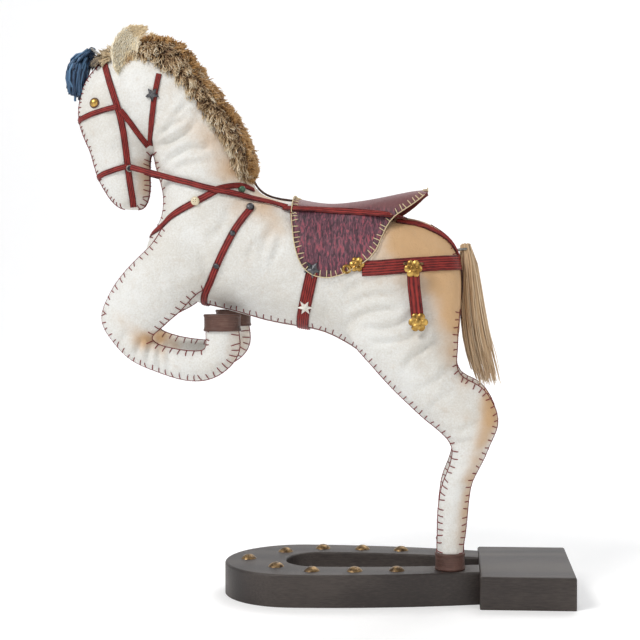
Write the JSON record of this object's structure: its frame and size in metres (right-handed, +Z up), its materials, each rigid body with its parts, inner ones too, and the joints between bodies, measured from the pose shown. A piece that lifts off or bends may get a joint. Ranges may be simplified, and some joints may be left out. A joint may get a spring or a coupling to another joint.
{
  "type": "stuffed leather horse figure on stand",
  "caption": "Hand-stitched stuffed leather horse figure with saddle, bridle and harness, rearing on a horseshoe-shaped wooden stand with a heel block and brass tacks.",
  "frame": {"origin": "centre of the bounding box at the underside of the stand", "axes": "+Z up; the horse faces -X; its left side is -Y"},
  "size_m": [0.3549, 0.104, 0.395],
  "materials": {
    "dark_wood": "satin stained",
    "dowel_wood": "plain",
    "antique_brass": "antique",
    "steel_wire": "plain",
    "cotton_stuffing": "loose fill",
    "cream_leather": "matte, fine grain",
    "brown_leather": "matte",
    "mane_fur": "long pile fur",
    "grey_fur": "short fur",
    "blue_yarn": "yarn",
    "blond_fibre": "loose fibre",
    "plum_leather": "satin, streaked",
    "felt": "felt",
    "gold_metal": "polished",
    "dark_metal": "antique",
    "red_leather": "satin"
  },
  "bodies": {
    "figure": {"bead_eyes": "gold_metal", "belly_gusset": "cream_leather", "bit_buttons": "dark_metal", "body_skin_far": "cream_leather", "body_skin_near": "cream_leather", "body_stuffing": "cotton_stuffing", "breast_collar": "red_leather", "breeching": "red_leather", "browband": "red_leather", "cheek_strap_far": "red_leather", "cheek_strap_near": "red_leather", "crupper": "red_leather", "dome_tacks": "antique_brass", "ear_far": "cream_leather", "ear_near": "cream_leather", "fore_cuff_far": "brown_leather", "fore_cuff_near": "brown_leather", "foreleg_skin_far": "cream_leather", "foreleg_skin_near": "cream_leather", "foreleg_stuffing_far": "cotton_stuffing", "foreleg_stuffing_near": "cotton_stuffing", "forelock_fur": "grey_fur", "forelock_staple": "steel_wire", "front_girth": "red_leather", "girth": "red_leather", "harness_buttons": "dark_metal", "heel_block": "dark_wood", "heel_dowels": "dowel_wood", "hind_cuff_far": "brown_leather", "hind_cuff_near": "brown_leather", "hindleg_skin_far": "cream_leather", "hindleg_skin_near": "cream_leather", "hindleg_stuffing_far": "cotton_stuffing", "hindleg_stuffing_near": "cotton_stuffing", "hoof_screws": "steel_wire", "hoof_soles": "brown_leather", "horseshoe_board": "dark_wood", "jaw_straps": "red_leather", "leg_wires": "steel_wire", "mane_fur": "mane_fur", "noseband": "red_leather", "pendant_staples": "steel_wire", "rein_far": "red_leather", "rein_near": "red_leather", "saddle": "plum_leather", "saddle_conchos": "dark_metal", "saddle_pad": "felt", "saddle_straps": "red_leather", "star_conchos": "dark_metal", "tail_staple": "steel_wire", "throat_straps": "red_leather", "withers_straps": "red_leather"},
    "tail": {"tail_hair": "blond_fibre", "tail_binding": "red_leather"},
    "forelock": {"forelock_tassel": "blue_yarn"},
    "pendant_near": {"pendant_near": "red_leather", "pendant_flowers_near": "gold_metal"},
    "pendant_far": {"pendant_far": "red_leather", "pendant_flowers_far": "gold_metal"}
  },
  "joints": [
    {"name": "tail_swing", "type": "hinge", "parent": "figure", "child": "tail", "pos_m": [0.1045, 0, 0.2405], "axis": [0, -1, 0], "range_deg": [0, 60]},
    {"name": "forelock_swing", "type": "hinge", "parent": "figure", "child": "forelock", "pos_m": [-0.159, 0, 0.3815], "axis": [0, 1, 0], "range_deg": [0, 70]},
    {"name": "pendant_near_swing", "type": "hinge", "parent": "figure", "child": "pendant_near", "pos_m": [0.0688, -0.04004, 0.2295], "axis": [-1, 0, 0], "range_deg": [0, 80]},
    {"name": "pendant_far_swing", "type": "hinge", "parent": "figure", "child": "pendant_far", "pos_m": [0.0688, 0.04004, 0.2295], "axis": [1, 0, 0], "range_deg": [0, 80]}
  ]
}
